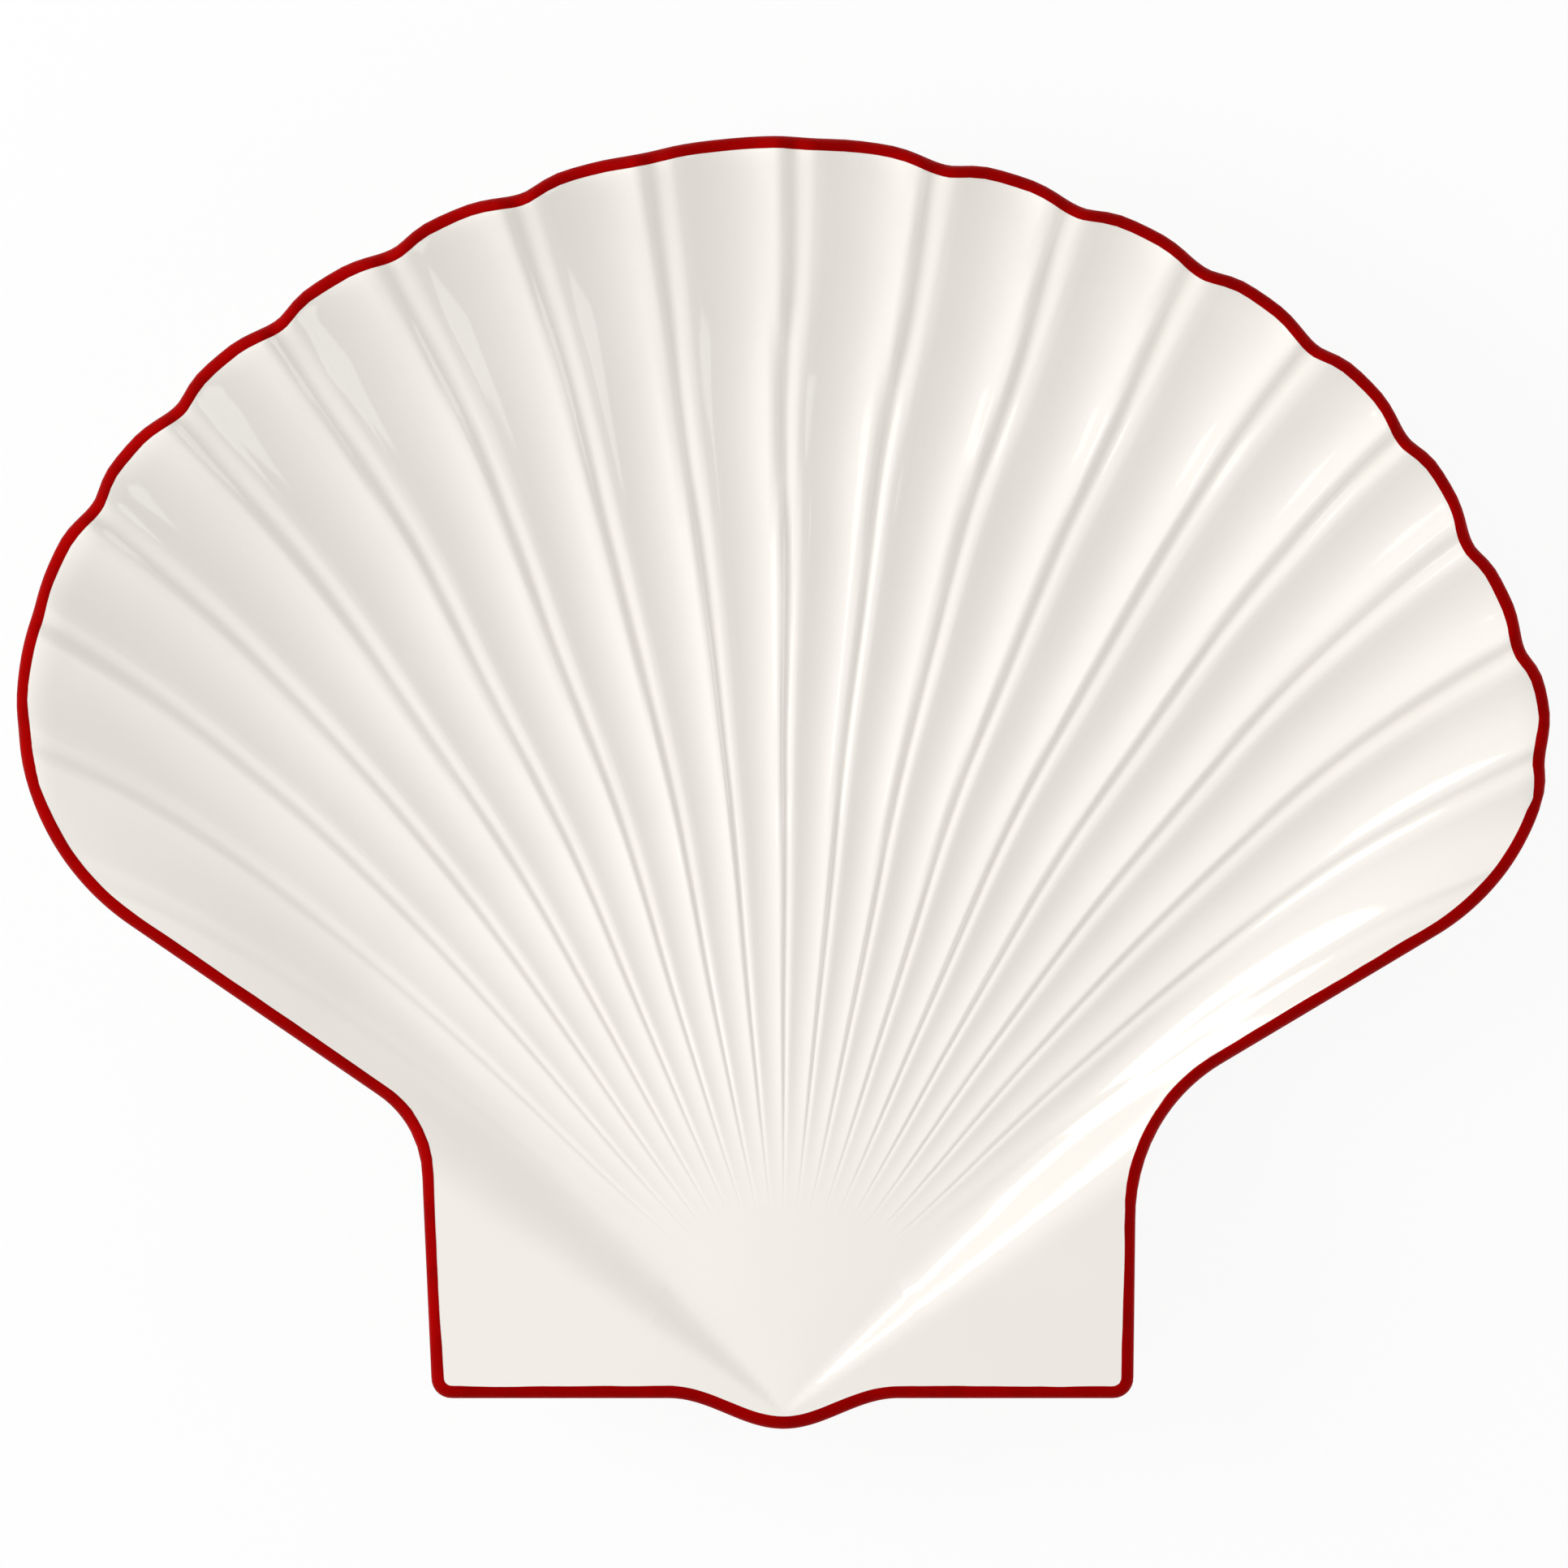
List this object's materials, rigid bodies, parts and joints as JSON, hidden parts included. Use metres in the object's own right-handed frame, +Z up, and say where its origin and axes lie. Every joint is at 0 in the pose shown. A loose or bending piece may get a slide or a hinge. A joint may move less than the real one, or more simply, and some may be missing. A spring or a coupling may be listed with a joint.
{
  "type": "scallop-shaped serving plate",
  "caption": "Shallow scallop-shaped serving plate in glazed off-white earthenware, with a fluted bowl, two flat ears, a small beak, a dark red rim line and an oval foot",
  "frame": {"origin": "Middle of the plan box, on the surface that the plate stands on", "axes": "+X runs across the fan from wing to wing, +Y from the beak to the scalloped rim, +Z up out of the bowl"},
  "size_m": [0.2403, 0.2028, 0.0254],
  "materials": {
    "glaze": "glossy off-white glaze with a dark red enamel line on the rim"
  },
  "bodies": {
    "root": {"plate": "glaze"}
  },
  "joints": []
}
